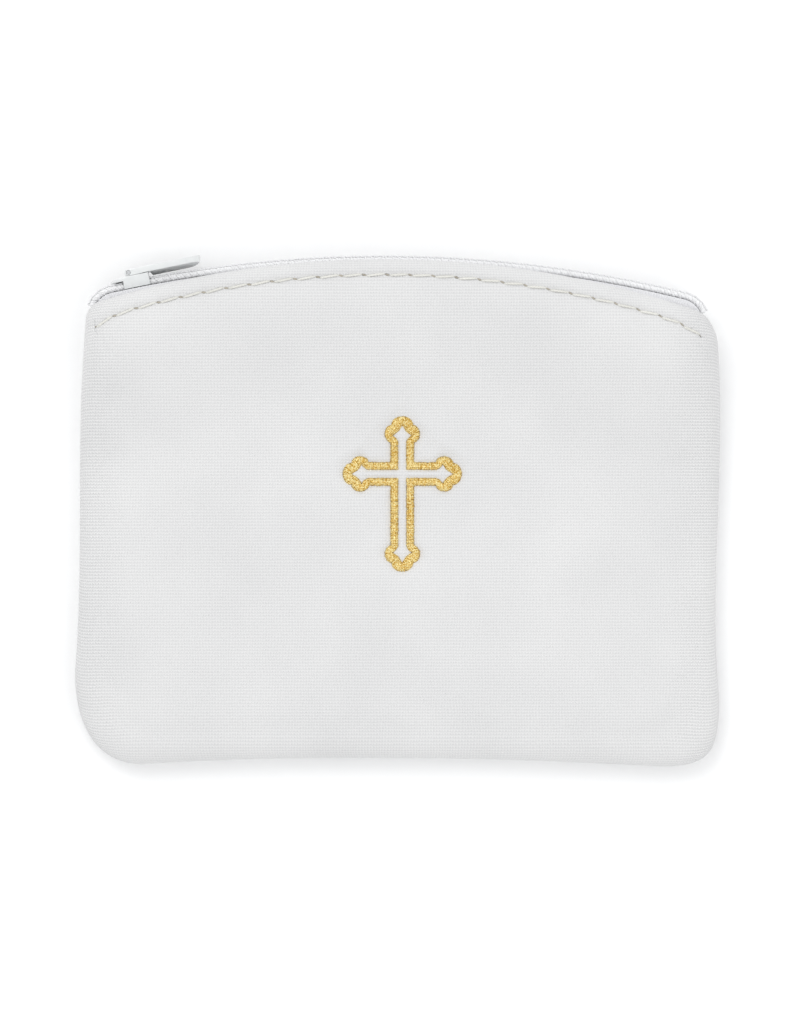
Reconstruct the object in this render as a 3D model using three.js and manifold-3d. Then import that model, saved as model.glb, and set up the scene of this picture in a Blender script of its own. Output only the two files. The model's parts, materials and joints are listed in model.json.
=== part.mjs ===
// A small zip pouch in foam-backed knit, the kind that holds a rosary or a pocket prayer book.
// Millimetres. It lies on its back panel: +X to the right, +Y towards the zip, +Z up out of the front.
// The two panels are sewn face to face round the sides and the bottom, then turned, so each one ends
// in a seam allowance that points inwards. Along the top each panel is folded into a hem, and one
// half of a coil zip is topstitched behind it. The slider runs along the arc of the chain.
import * as THREE from "three";
import { mergeVertices } from "three/addons/utils/BufferGeometryUtils.js";
import Module from "manifold-3d";

const wasm = await Module();
wasm.setup();

// ---- Driving dimensions -------------------------------------------------------------------------
const pouchWidth = 114.3; // across the sides, at their widest
const pouchHeight = 90.1; // from the bottom corners to the top of the zip
const laminate = 1.5; // knit, foam and lining together
const foldGap = 0.5; // between a panel and its own folded edge
const seamGap = 0.3; // between two pieces that are sewn together
const allowance = 7; // width of the fabric folded or turned inwards
const sideBulge = 4.6; // how far the rounded side of a panel reaches in
const hemBulge = 2.0; // the same at the folded hem, which is tighter
const sideSlack = 0.8; // room between the layers at the sides
const crown = 2.1; // how far the middle of the front stands above its sides

const archX = -2.5; // the arch of the top edge peaks a little left of the middle
const hemRadius = 172; // arch of the folded hems
const chainRadius = 225; // arch of the top of the zip, which is flatter
const chainProud = 0.75; // top of the zip above the hem, at the peak
const chainInset = 6.65; // from the side of the pouch to where the zip bends down
const endBendRadius = 4; // the zip's bend into the side seam
const endBendTurn = 42; // degrees

const chainWidth = 3.8; // both rows of the coil
const rowGap = 1.0; // the slit between the rows that the slider's web runs in
const coilHeight = 1.25;
const coilLift = 0.1; // coil above the tape
const coilWall = 0.28; // thickness of the coil's wire
const coilThread = 0.13; // thickness of the thread that sews the coil down
const coilThreadRoom = 0.07; // that thread to the coil
const coilThreadInset = 0.35; // from the edges of a row to its thread
const cordRadius = 0.2; // the cord inside each coil
const tape = 0.4; // thickness of the zip's tape
const tapeDrop = 10; // how far the tape hangs behind the hem
const tapeCutFrom = 15; // the hanging tape is cut away from here, before the corner of the hem
const tapeCutTo = 6; // to here
const tapeAhead = 1.5; // the tape narrows this much sooner than the mouth does
const tapeSide = 0.25; // the hanging tape to the slider, each side

const stitchInset = 0.8; // topstitch, from the end of the hem's bulge
const grooveWidth = 0.5; // flat bottom of the groove that the stitches pull in
const stitchSink = 0.55; // how deep the stitches pull the fabric in
const threadRadius = 0.13;
const threadLift = 0.12; // thread to the cloth it lies on

const sliderLength = 6.9;
const noseLength = 2.25; // the part of the slider ahead of its side walls
const noseTip = 0.3; // thickness that the upper plate thins to at the nose
const plate = 0.7; // the slider's two plates
const flange = 0.5; // its side walls
const sliderRoom = 0.17; // coil to slider, all round
const sliderInset = 10.3; // from the side of the pouch to the middle of the closed slider
const web = 0.5; // the post that joins the two plates
const tapeSlot = 0.3; // room for the tape above and below it, between the side walls
const tabLength = 12.9; // from the hinge pin to the tip
const tabWidth = 5.4;
const tabThickness = 1.1;
const tabKeel = 0.65; // depth of the shallow keel under the free part of the tab
const tabRoom = 0.07; // tab to the slider's upper plate
const forkDepth = 1.45; // slot between the tab's two ears, beyond the pin
const lugWidth = 1.94; // the slider's lug, which stands in that slot
const lugRadius = 0.75;
const pinRadius = 0.35;
const pinRoom = 0.07; // the pin in the pull tab's ears
const lugRoom = 0.12; // the pin in the slider's lug, and the lug in the fork

const crossUp = 5.9; // from the middle of the cross to the bud of the upper arm
const crossSide = 6.25; // the same on the side arms
const crossFoot = 12.95; // and on the long arm
const channel = 0.7; // half the width of the open channel
const satin = 1.4; // width of the embroidered line
const embroidery = 0.4; // how high it stands
const embroideryLift = 0.3; // embroidery to the cloth
const bobbinThread = 0.15; // its thread on the lining side
const crossX = 0.75; // the middle of the cross
const crossY = 6.6;

// ---- Values that follow -------------------------------------------------------------------------
const halfW = pouchWidth / 2;
const halfH = pouchHeight / 2;
const coilTop = coilLift + coilHeight + coilThreadRoom + coilThread; // above the tape
const sliderHalf = chainWidth / 2 + sliderRoom + flange;
const legInner = sliderHalf + tapeSide; // inner face of the hanging tape, from the chain's middle
const legOuter = legInner + tape;
const mouthGap = 2 * (legOuter + seamGap);
const backRim = 2 * laminate + foldGap; // top of the back panel's folded edge
const sideRim = backRim + seamGap; // underside of the front panel at the side seam
const hemRim = backRim + mouthGap; // the same at the hem
const chainZ = backRim + mouthGap / 2;
const sideTop = sideRim + 2 * laminate + sideSlack;
const hemTop = hemRim + backRim;
const hemPeakY = halfH - chainProud;
const tapeRadius = chainRadius - coilTop;
const chainCentre = new THREE.Vector2(archX, halfH - chainRadius);

const clamp01 = (t) => Math.min(1, Math.max(0, t));
const smooth = (t) => clamp01(t) ** 2 * (3 - 2 * clamp01(t));
const mix = (a, b, t) => a + (b - a) * t;
const hemY = (x) => hemPeakY - hemRadius + Math.sqrt(hemRadius ** 2 - (x - archX) ** 2);

// ---- Outline of a panel, seen from the front ----------------------------------------------------
const shoulder = halfW - 4.7; // where the arch gives way to a rounded top corner
const cornerX = halfW - 2.1;
const bottomCornerX = halfW - 11.65;

function panelOutline() {
  const arch = (x) => Math.acos((x - archX) / hemRadius);
  const p = new THREE.Path();
  p.absarc(archX, hemPeakY - hemRadius, hemRadius, Math.PI / 2, arch(shoulder), true);
  p.quadraticCurveTo(cornerX, hemY(cornerX), halfW - 0.8, hemY(cornerX) - 4);
  p.bezierCurveTo(halfW + 1.3, 0.3 * halfH, halfW - 2.3, -0.27 * halfH, halfW - 0.35, -halfH + 13);
  p.bezierCurveTo(halfW - 0.1, -halfH + 1.6, halfW - 2.1, -halfH - 0.1, bottomCornerX, -halfH);
  p.bezierCurveTo(0.25 * halfW, -halfH + 1.9, -0.4 * halfW, -halfH + 2, -bottomCornerX, -halfH + 0.4);
  p.bezierCurveTo(3.6 - halfW, -halfH + 0.5, -halfW - 0.2, -halfH + 7.5, -halfW, -halfH + 17);
  p.bezierCurveTo(1.7 - halfW, -0.18 * halfH, -halfW - 0.1, 0.35 * halfH, 2 - halfW, hemY(-cornerX) - 3.2);
  p.quadraticCurveTo(-cornerX, hemY(-cornerX) + 0.1, -shoulder, hemY(-shoulder));
  p.absarc(archX, hemPeakY - hemRadius, hemRadius, arch(-shoulder), Math.PI / 2, true);
  return p;
}

// Points round the outline, each with its share of the hem: 1 along the top, 0 down the sides.
const closeBefore = 4; // the mouth starts to close this far before a top corner
const closeAfter = 12; // and is a plain seam this far down the side
const hemShare = (beyondCorner) => 1 - smooth((beyondCorner + closeBefore) / (closeBefore + closeAfter));

function outlinePoints(count) {
  const path = panelOutline();
  const points = path.getSpacedPoints(count).slice(0, count);
  const corner = (side) =>
    points.reduce((best, p, i) => {
      const away = Math.hypot(p.x - side * cornerX, p.y - hemY(side * cornerX));
      return away < best.away ? { away, i } : best;
    }, { away: Infinity, i: 0 }).i;
  const step = path.getLength() / count;
  const right = corner(1);
  const left = corner(-1);
  return points.map((p, i) => {
    const onRight = i < (right + left) / 2;
    const beyond = (onRight ? i - right : left - i) * step;
    const share = hemShare(beyond);
    return {
      x: p.x,
      y: p.y,
      share,
      rim: mix(sideRim, hemRim, share),
      bulge: mix(sideBulge, hemBulge, share),
    };
  });
}

// A point of the outline moved inwards by d. Near the edge the whole hem comes down by d, and deeper
// in the outline shrinks evenly towards its middle, so that no two of its insets cross.
const evenFrom = allowance;
const evenOver = 25;
function inset(o, d) {
  const edge = o.share * (1 - smooth((d - evenFrom) / evenOver));
  const lift = o.y > 0 ? mix(o.y / halfH, 1, edge) : o.y / halfH;
  return { x: o.x - (d * o.x) / halfW, y: o.y - d * lift };
}

// Height of the front panel's outer face, away from its rounded edge.
const rampLength = 34; // the front rises towards the hem over this length
function frontHeight(x, y) {
  const beyond = Math.abs(x) - cornerX;
  const ramp = smooth((y - hemY(x) + rampLength) / (rampLength - 3)) * hemShare(beyond);
  const dome = crown * clamp01(1 - (x / halfW) ** 4) * clamp01(1 - (y / halfH) ** 4);
  return sideTop + dome * (1 - ramp) + (hemTop - sideTop) * ramp;
}

// ---- Solids from rings of points ----------------------------------------------------------------
// Rings of equal count, joined in turn, closed by a cap at each end: a fan, or for a section that is
// hollow on one side, the triangles of that section.
function ringSolid(rings, section) {
  const count = rings[0].length;
  const position = [];
  const index = [];
  rings.flat().forEach((p) => position.push(p.x, p.y, p.z));
  const flat = section?.map((p) => new THREE.Vector2(...p));
  const faces = flat && THREE.ShapeUtils.triangulateShape(flat, []);
  const cap = (ring, offset, turn) => {
    if (faces) {
      const swap = turn !== THREE.ShapeUtils.isClockWise(flat);
      for (const [a, b, c] of faces) {
        const facing = swap ? [a, c, b] : [a, b, c];
        index.push(...facing.map((i) => i + offset));
      }
      return;
    }
    const middle = ring.reduce((sum, p) => sum.add(p), new THREE.Vector3()).divideScalar(count);
    const at = position.length / 3;
    position.push(middle.x, middle.y, middle.z);
    for (let i = 0; i < count; i++) {
      const j = (i + 1) % count;
      index.push(...(turn ? [at, offset + j, offset + i] : [at, offset + i, offset + j]));
    }
  };
  for (let r = 0; r + 1 < rings.length; r++)
    for (let i = 0; i < count; i++) {
      const j = (i + 1) % count;
      const [a, b, c, d] = [r * count + i, r * count + j, (r + 1) * count + j, (r + 1) * count + i];
      index.push(a, c, b, a, d, c);
    }
  cap(rings[0], 0, false);
  cap(rings[rings.length - 1], (rings.length - 1) * count, true);
  return outward(position, index);
}

// The geometry with its faces turned outwards, whichever way its rings ran.
function outward(position, index) {
  let volume = 0;
  const v = (i) => new THREE.Vector3().fromArray(position, 3 * i);
  for (let t = 0; t < index.length; t += 3)
    volume += v(index[t]).dot(v(index[t + 1]).cross(v(index[t + 2])));
  if (volume < 0) {
    for (let t = 0; t < index.length; t += 3) {
      [index[t + 1], index[t + 2]] = [index[t + 2], index[t + 1]];
    }
  }
  const g = new THREE.BufferGeometry();
  g.setAttribute("position", new THREE.Float32BufferAttribute(position, 3));
  g.setIndex(index);
  return g;
}

const hexagon = (radius) =>
  [0, 1, 2, 3, 4, 5].map((i) => {
    const turn = (i * Math.PI) / 3;
    return [radius * Math.cos(turn), radius * Math.sin(turn)];
  });

// A tube of six sides along points.
function thread(points, radius) {
  const section = new THREE.Shape(hexagon(radius).map(([x, y]) => new THREE.Vector2(x, y)));
  return new THREE.ExtrudeGeometry(section, {
    steps: points.length - 1,
    extrudePath: new THREE.CatmullRomCurve3(points),
  });
}

// ---- Booleans -----------------------------------------------------------------------------------
function solid(geometry) {
  const g = geometry.clone();
  g.deleteAttribute("normal");
  g.deleteAttribute("uv");
  const merged = mergeVertices(g, 1e-4);
  return new wasm.Manifold(
    new wasm.Mesh({
      numProp: 3,
      vertProperties: merged.attributes.position.array,
      triVerts: new Uint32Array(merged.index.array),
    }),
  );
}

function geometryOf(manifold) {
  const m = manifold.getMesh();
  const g = new THREE.BufferGeometry();
  g.setAttribute("position", new THREE.BufferAttribute(new Float32Array(m.vertProperties), 3));
  g.setIndex(new THREE.BufferAttribute(new Uint32Array(m.triVerts), 1));
  return g;
}

function box(x0, x1, y0, y1, z0, z1) {
  const g = new THREE.BoxGeometry(x1 - x0, y1 - y0, z1 - z0);
  return solid(g.translate((x0 + x1) / 2, (y0 + y1) / 2, (z0 + z1) / 2));
}

// A round bar across the slider, along Z.
function rod(x, y, radius, length) {
  const g = new THREE.CylinderGeometry(radius, radius, length, 16);
  return solid(g.rotateX(Math.PI / 2).translate(x, y, 0));
}

// ---- Panels -------------------------------------------------------------------------------------
// A panel's section runs from the middle of its outer face, over the stitch groove and the rounded
// edge, back in under itself along the allowance, and along the lining to the middle again.
const outline = outlinePoints(72);
const innerInsets = [32, 22, 12];
const bulgeAngles = [90, 62, 36, 14, 0].map(THREE.MathUtils.degToRad);
const grooveSteps = [
  { beyond: stitchInset + grooveWidth, sink: 0 },
  { beyond: stitchInset + grooveWidth / 2, sink: stitchSink },
  { beyond: stitchInset - grooveWidth / 2, sink: stitchSink },
]; // beyond the bulge
const innerFold = laminate + foldGap;
const edgeRound = 0.3; // small rounding where the edge turns under

// One ring of the section: d and z give a point's inset and height.
const ring = (d, z) =>
  outline.map((o) => {
    const p = inset(o, d(o));
    return new THREE.Vector3(p.x, p.y, z(o, p));
  });
const bulgeInset = (a) => (o) => o.bulge * (1 - Math.cos(a));
const liningInset = (a) => (o) => innerFold + (o.bulge + 0.5 - innerFold) * (1 - Math.cos(a));
const liningAngles = bulgeAngles.slice(1, -1).reverse();

function frontPanel() {
  const open = (o, p) => frontHeight(p.x, p.y);
  const face = (o, p) => Math.max(open(o, p), o.rim + backRim);
  const lining = (o, p) => face(o, p) - laminate;
  const fold = (o) => o.rim + laminate;
  return ringSolid([
    ...innerInsets.map((d) => ring(() => d, open)),
    ...grooveSteps.map(({ beyond, sink }) =>
      ring((o) => o.bulge + beyond, (o, p) => face(o, p) - sink * o.share),
    ),
    ...bulgeAngles.map((a) =>
      ring(bulgeInset(a), (o, p) => mix(o.rim + edgeRound, face(o, p), Math.sin(a))),
    ),
    ring(() => edgeRound, (o) => o.rim),
    ring(() => allowance, (o) => o.rim),
    ring(() => allowance, fold),
    ring(() => innerFold, fold),
    ...liningAngles.map((a) =>
      ring(liningInset(a), (o, p) => mix(fold(o), lining(o, p), Math.sin(a))),
    ),
    ring((o) => o.bulge + stitchInset + grooveWidth, lining),
    ...innerInsets.toReversed().map((d) => ring(() => d, (o, p) => open(o, p) - laminate)),
  ]);
}

function backPanel() {
  const fold = backRim - laminate;
  return ringSolid([
    ...innerInsets.map((d) => ring(() => d, () => 0)),
    ...grooveSteps.map(({ beyond, sink }) => ring((o) => o.bulge + beyond, (o) => sink * o.share)),
    ...bulgeAngles.map((a) => ring(bulgeInset(a), () => mix(backRim - edgeRound, 0, Math.sin(a)))),
    ring(() => edgeRound, () => backRim),
    ring(() => allowance, () => backRim),
    ring(() => allowance, () => fold),
    ring(() => innerFold, () => fold),
    ...liningAngles.map((a) => ring(liningInset(a), () => mix(fold, laminate, Math.sin(a)))),
    ring((o) => o.bulge + stitchInset + grooveWidth, () => laminate),
    ...innerInsets.toReversed().map((d) => ring(() => d, () => laminate)),
  ]);
}

// ---- Zip chain ----------------------------------------------------------------------------------
// A point of the chain: s is the way along the tape from the peak, h the height above the tape.
const runTo = (x) => tapeRadius * Math.asin((x - archX) / tapeRadius);
const leftRun = runTo(chainInset - halfW);
const rightRun = runTo(halfW - chainInset);
const bendLength = endBendRadius * THREE.MathUtils.degToRad(endBendTurn);

function chainAt(s) {
  const run = Math.min(rightRun, Math.max(leftRun, s));
  const turn = run / tapeRadius;
  const bend = turn + (s - run) / endBendRadius;
  const up = new THREE.Vector3(Math.sin(bend), Math.cos(bend), 0);
  return {
    x: chainCentre.x + (tapeRadius - endBendRadius) * Math.sin(turn) + endBendRadius * up.x,
    y: chainCentre.y + (tapeRadius - endBendRadius) * Math.cos(turn) + endBendRadius * up.y,
    up,
  };
}

// Stations along the chain: even on the long arc, closer together in the two end bends.
function stations(long, short) {
  const s = [];
  for (let i = 0; i < short; i++) s.push(leftRun - bendLength * (1 - i / short));
  for (let i = 0; i <= long; i++) s.push(mix(leftRun, rightRun, i / long));
  for (let i = 1; i <= short; i++) s.push(rightRun + (bendLength * i) / short);
  return s.map((at) => {
    const c = chainAt(at);
    const share = hemShare(Math.abs(c.x) - cornerX + tapeAhead);
    const front = mix(sideRim, hemRim, share) - seamGap;
    const back = backRim + seamGap;
    return { ...c, middle: (front + back) / 2, half: (front - back) / 2 };
  });
}

// A bar along the chain whose section is given as [distance from the chain's middle, height] pairs.
function chainBar(side, section, at) {
  return ringSolid(
    at.map((c) =>
      section.map(([out, h]) =>
        new THREE.Vector3(c.x, c.y, c.middle + side * out).addScaledVector(c.up, h),
      ),
    ),
    section,
  );
}

const rowInner = rowGap / 2;
const rowOuter = chainWidth / 2;
const coilFoot = coilLift;
const coilHead = coilLift + coilHeight;

// Each coil is a channel, open towards the other row, with its cord inside.
const coilSection = [
  [rowInner, coilFoot],
  [rowOuter, coilFoot],
  [rowOuter, coilHead],
  [rowInner, coilHead],
  [rowInner, coilHead - coilWall],
  [rowOuter - coilWall, coilHead - coilWall],
  [rowOuter - coilWall, coilFoot + coilWall],
  [rowInner, coilFoot + coilWall],
];
const threadStrip = [
  [rowInner + coilThreadInset, coilTop - coilThread],
  [rowOuter - coilThreadInset, coilTop - coilThread],
  [rowOuter - coilThreadInset, coilTop],
  [rowInner + coilThreadInset, coilTop],
];
const cordOut = (rowInner + rowOuter - coilWall) / 2;
const cordHeight = (coilFoot + coilHead) / 2;
const cordSection = hexagon(cordRadius).map(([out, h]) => [cordOut + out, cordHeight + h]);

// Half of the tape: flat under the coil, then folded down behind the hem. It is cut short at the ends,
// where the side seam closes.
function tapeHalf(side, at) {
  const section = [
    [rowInner, 0],
    [legOuter - tape / 2, 0],
    [legOuter, -tape / 2],
    [legOuter, -tapeDrop],
    [legInner, -tapeDrop],
    [legInner, -tape],
    [rowInner, -tape],
  ];
  return ringSolid(
    at.map((c) => {
      const cut = smooth((Math.abs(c.x) - cornerX + tapeCutFrom) / (tapeCutFrom - tapeCutTo));
      const drop = mix(c.y - hemY(c.x) + tapeDrop, 2 * tape, cut);
      return section.map(([out, h]) => {
        const p = new THREE.Vector3(c.x, c.y, c.middle + side * out * (c.half / legOuter));
        return h > -tapeDrop ? p.addScaledVector(c.up, h) : p.setY(c.y - drop);
      });
    }),
    section,
  );
}

// ---- Threads ------------------------------------------------------------------------------------
// The stretch of the outline that the topstitching follows, left to right.
const stitched = (x) => Math.abs(x) < cornerX - 1.5;
const hemPoints = outline.filter((o) => o.y > 0 && stitched(o.x)).sort((a, b) => a.x - b.x);

function topstitchFront() {
  return thread(
    hemPoints.map((o) => {
      const p = inset(o, o.bulge + stitchInset);
      const face = Math.max(frontHeight(p.x, p.y), o.rim + backRim);
      return new THREE.Vector3(p.x, p.y, face - stitchSink * o.share + threadLift + threadRadius);
    }),
    threadRadius,
  );
}

// The back's stitches lie in their own groove, so they don't lift the pouch.
function topstitchBack() {
  return thread(
    hemPoints.map((o) => {
      const p = inset(o, o.bulge + stitchInset);
      const z = stitchSink * o.share - threadLift - threadRadius;
      return new THREE.Vector3(p.x, p.y, Math.max(z, threadRadius));
    }),
    threadRadius,
  );
}

// The bobbin thread of the topstitching, on the inner face of the hanging tape.
const bobbinEnd = cornerX - tapeCutFrom + 4;
function topstitchBobbin(side, at) {
  const within = at.filter((c) => Math.abs(c.x) < bobbinEnd);
  return thread(
    within.map((c) => {
      const face = c.middle + side * (legInner - threadLift - threadRadius);
      return new THREE.Vector3(c.x, hemY(c.x) - hemBulge - stitchInset, face);
    }),
    threadRadius,
  );
}

// The side seam's two threads: one on each allowance, round the sides and the bottom.
function seamThread(height) {
  const below = outline.filter((o) => o.y < hemY(cornerX) - closeAfter);
  return thread(
    below.map((o) => {
      const p = inset(o, sideBulge + 0.6);
      return new THREE.Vector3(p.x, p.y, height);
    }),
    threadRadius,
  );
}

// ---- Cross --------------------------------------------------------------------------------------
// The right half of one arm's bud, from its root to its tip, measured from the end of the arm. Each
// step gives the point it reaches and, where the line is curved, the point that bends it on its way.
const innerBud = [
  { to: [channel, 0] },
  { to: [1.75, 0.86] },
  { to: [0, 2.7], by: [0.62, 1.62] },
];
const outerBud = [
  { to: [channel + satin, -0.35] },
  { to: [3.1, 1.3], by: [3.2, 0] },
  { to: [1.95, 2.75], by: [3.05, 2.6] },
  { to: [0, 4.25], by: [1.85, 4.25] },
];

// The right half of an arm that points up, from the corner between two arms to its tip.
function armHalf(bud, corner, reach) {
  const p = new THREE.Path();
  p.moveTo(corner, corner);
  for (const { to, by } of bud) {
    if (by) p.quadraticCurveTo(by[0], reach + by[1], to[0], reach + to[1]);
    else p.lineTo(to[0], reach + to[1]);
  }
  return p.getPoints(3);
}

// One edge of the embroidered line, all the way round: the arms up, right, down and left.
function crossEdge(bud, corner) {
  return [crossUp, crossSide, crossFoot, crossSide].flatMap((reach, turn) => {
    const right = armHalf(bud, corner, reach);
    const left = right.map((p) => new THREE.Vector2(-p.x, p.y));
    const arm = [...left, ...right.slice(1, -1).reverse()];
    return arm.map((p) => p.rotateAround(new THREE.Vector2(), (-turn * Math.PI) / 2));
  });
}

// A flat ring between the two edges of the satin line, laid on the front panel.
function crossBand(low, high) {
  const shape = new THREE.Shape(crossEdge(outerBud, channel + satin));
  shape.holes.push(new THREE.Path(crossEdge(innerBud, channel).reverse()));
  const g = new THREE.ExtrudeGeometry(shape, { depth: 1, bevelEnabled: false });
  const at = g.attributes.position;
  for (let i = 0; i < at.count; i++) {
    const x = at.getX(i) + crossX;
    const y = at.getY(i) + crossY;
    at.setXYZ(i, x, y, frontHeight(x, y) + mix(low, high, at.getZ(i)));
  }
  return g;
}

// ---- Slider -------------------------------------------------------------------------------------
// In its own frame: +X towards the closed chain, +Y away from the pouch, +Z across, origin on the tape.
const plateUnder = coilTop + sliderRoom;
const plateTop = plateUnder + plate;
const slotLow = -tape - tapeSlot;
const slotHigh = tapeSlot;
const floorUnder = slotLow - plate;
const hingeY = plateTop + tabThickness / 2 + tabRoom;
const overlap = 0.1; // how far the pieces of the casting run into each other

// The plan of a plate: a straight tail with soft corners, and a nose that narrows to a blunt point.
function platePlan() {
  const half = sliderLength / 2;
  const wide = sliderHalf;
  const nose = 1 - half; // where the sides give way to the nose
  const s = new THREE.Shape();
  s.moveTo(half - 0.3, -wide);
  s.quadraticCurveTo(half, -wide, half, -wide + 0.5);
  s.lineTo(half, wide - 0.5);
  s.quadraticCurveTo(half, wide, half - 0.3, wide);
  s.lineTo(nose, wide);
  s.quadraticCurveTo(0.3 - half, wide, -half, 0.8);
  s.quadraticCurveTo(-half - 0.15, 0, -half, -0.8);
  s.quadraticCurveTo(0.3 - half, -wide, nose, -wide);
  s.closePath();
  return s;
}

// A plan drawn in X and Z, thickened along Y.
function slab(plan, y0, y1) {
  const g = new THREE.ExtrudeGeometry(plan, { depth: y1 - y0, bevelEnabled: false, curveSegments: 5 });
  return solid(g.rotateX(-Math.PI / 2).translate(0, y0, 0));
}

// A profile drawn in X and Y, thickened along Z, with z = 0 in the middle.
function crossways(profile, width) {
  const g = new THREE.ExtrudeGeometry(profile, { depth: width, bevelEnabled: false, curveSegments: 6 });
  return solid(g.translate(0, 0, -width / 2));
}

// The upper plate, whose top slopes down to the tip of the nose.
function upperPlate() {
  const half = sliderLength / 2;
  const tip = -half - 0.2;
  const profile = new THREE.Shape([
    new THREE.Vector2(tip, plateUnder),
    new THREE.Vector2(half + 1, plateUnder),
    new THREE.Vector2(half + 1, plateTop),
    new THREE.Vector2(noseLength - half, plateTop),
    new THREE.Vector2(tip, plateUnder + noseTip),
  ]);
  return slab(platePlan(), plateUnder, plateTop).intersect(crossways(profile, 3 * sliderHalf));
}

function sliderWall(side) {
  const inner = side * (sliderHalf - flange);
  const outer = side * sliderHalf;
  const [z0, z1] = [Math.min(inner, outer), Math.max(inner, outer)];
  const top = plateUnder + overlap;
  const start = noseLength - sliderLength / 2;
  return box(start, sliderLength, slotHigh, top, z0, z1).intersect(slab(platePlan(), slotHigh, top));
}

// The lug that carries the pin: a foot on the upper plate under a round head, cut flat on top.
function sliderLug() {
  const half = lugWidth / 2;
  const foot = box(-lugRadius, lugRadius, plateTop - overlap, hingeY, -half, half);
  const top = hingeY + tabThickness / 2;
  const head = rod(0, hingeY, lugRadius, lugWidth);
  return foot.add(head.intersect(box(-1, 1, plateTop, top, -half, half)));
}

function sliderBody() {
  const half = sliderLength / 2;
  const post = box(-half + 0.8, -half + 3.6, slotLow - overlap, plateUnder + overlap, -web / 2, web / 2);
  const casting = upperPlate()
    .add(slab(platePlan(), floorUnder, slotLow))
    .add(sliderWall(1))
    .add(sliderWall(-1))
    .add(post)
    .add(sliderLug());
  return geometryOf(casting.subtract(rod(0, hingeY, pinRadius + lugRoom, 2 * lugWidth)));
}

// The tab from the side: a thin eye round the pin, then the keel, which rises to a rounded tip.
function tabSide() {
  const r = tabThickness / 2;
  const low = -r - tabKeel;
  const keelStart = sliderLength / 2 + 0.25; // clear of the slider's plate
  const s = new THREE.Shape();
  s.moveTo(0, -r);
  s.lineTo(keelStart, -r);
  s.lineTo(keelStart + 0.4, low);
  s.lineTo(tabLength - 2.2, low);
  s.quadraticCurveTo(tabLength - 0.2, low + 0.05, tabLength, r - 0.45);
  s.lineTo(tabLength, r - 0.1);
  s.lineTo(tabLength - 0.1, r);
  s.lineTo(0, r);
  s.absarc(0, 0, r, Math.PI / 2, (3 * Math.PI) / 2, false);
  return s;
}

// The tab from above: ears that widen into a bar with a rounded tip.
function tabPlan() {
  const half = tabWidth / 2;
  const round = 1.8;
  const s = new THREE.Shape();
  s.moveTo(-1, -half + 0.35);
  s.lineTo(2.5, -half);
  s.lineTo(tabLength - round, -half);
  s.quadraticCurveTo(tabLength, -half, tabLength, -half + round);
  s.lineTo(tabLength, half - round);
  s.quadraticCurveTo(tabLength, half, tabLength - round, half);
  s.lineTo(2.5, half);
  s.lineTo(-1, half - 0.35);
  return s;
}

// The tab from its end: upright sides over an underside that slopes to the keel.
function tabSection() {
  const half = tabWidth / 2;
  const r = tabThickness / 2;
  return new THREE.Shape([
    new THREE.Vector2(-half, -r + 0.1),
    new THREE.Vector2(0, -r - tabKeel),
    new THREE.Vector2(half, -r + 0.1),
    new THREE.Vector2(half, r),
    new THREE.Vector2(-half, r),
  ]);
}

function pullTab() {
  const bar = new THREE.ExtrudeGeometry(tabSection(), { depth: tabLength + 2, bevelEnabled: false });
  const section = solid(bar.rotateY(Math.PI / 2).translate(-1, 0, 0));
  const ears = box(-1, forkDepth + 1, -tabThickness, tabThickness, -tabWidth / 2, tabWidth / 2);
  const slot = lugWidth / 2 + lugRoom;
  const made = crossways(tabSide(), tabWidth)
    .intersect(slab(tabPlan(), -2, 1))
    .intersect(section.add(ears))
    .subtract(box(-1, forkDepth, -1, 1, -slot, slot))
    .subtract(rod(0, 0, pinRadius + pinRoom, tabWidth + 1));
  return geometryOf(made.translate([0, hingeY, 0]));
}

const pinInset = 0.45; // from the side of the tab to the end of the pin
function tabPin() {
  return geometryOf(rod(0, hingeY, pinRadius, tabWidth - 2 * pinInset));
}

// ---- Assembly -----------------------------------------------------------------------------------
const fabric = new THREE.MeshStandardMaterial({ color: 0xe9e8e6, roughness: 0.9, metalness: 0 });
const zipTape = new THREE.MeshStandardMaterial({ color: 0xf0f0f1, roughness: 0.85, metalness: 0 });
const nylon = new THREE.MeshStandardMaterial({ color: 0xf3f3f4, roughness: 0.4, metalness: 0 });
const cotton = new THREE.MeshStandardMaterial({ color: 0xf1ece0, roughness: 0.6, metalness: 0 });
const gold = new THREE.MeshStandardMaterial({ color: 0xd9a93a, roughness: 0.35, metalness: 0.8 });
const enamel = new THREE.MeshStandardMaterial({ color: 0xe6e8e8, roughness: 0.3, metalness: 0.1 });
const steel = new THREE.MeshStandardMaterial({ color: 0xb8babc, roughness: 0.3, metalness: 1 });

function part(name, geometry, material) {
  const mesh = new THREE.Mesh(geometry, material);
  mesh.name = name;
  return mesh;
}

const pouch = new THREE.Group();
const chainStations = stations(20, 3);

pouch.add(part("front_panel", frontPanel(), fabric));
pouch.add(part("back_panel", backPanel(), fabric));
pouch.add(part("topstitch_needle_front", topstitchFront(), cotton));
pouch.add(part("topstitch_needle_back", topstitchBack(), cotton));

const seamLift = laminate + threadLift + threadRadius;
pouch.add(part("side_seam_needle_thread", seamThread(sideRim + seamLift), cotton));
pouch.add(part("side_seam_bobbin_thread", seamThread(backRim - seamLift), cotton));

const underLining = -laminate - embroideryLift;
pouch.add(part("cross_embroidery", crossBand(embroideryLift, embroideryLift + embroidery), gold));
pouch.add(part("cross_bobbin_thread", crossBand(underLining - bobbinThread, underLining), cotton));

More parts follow.
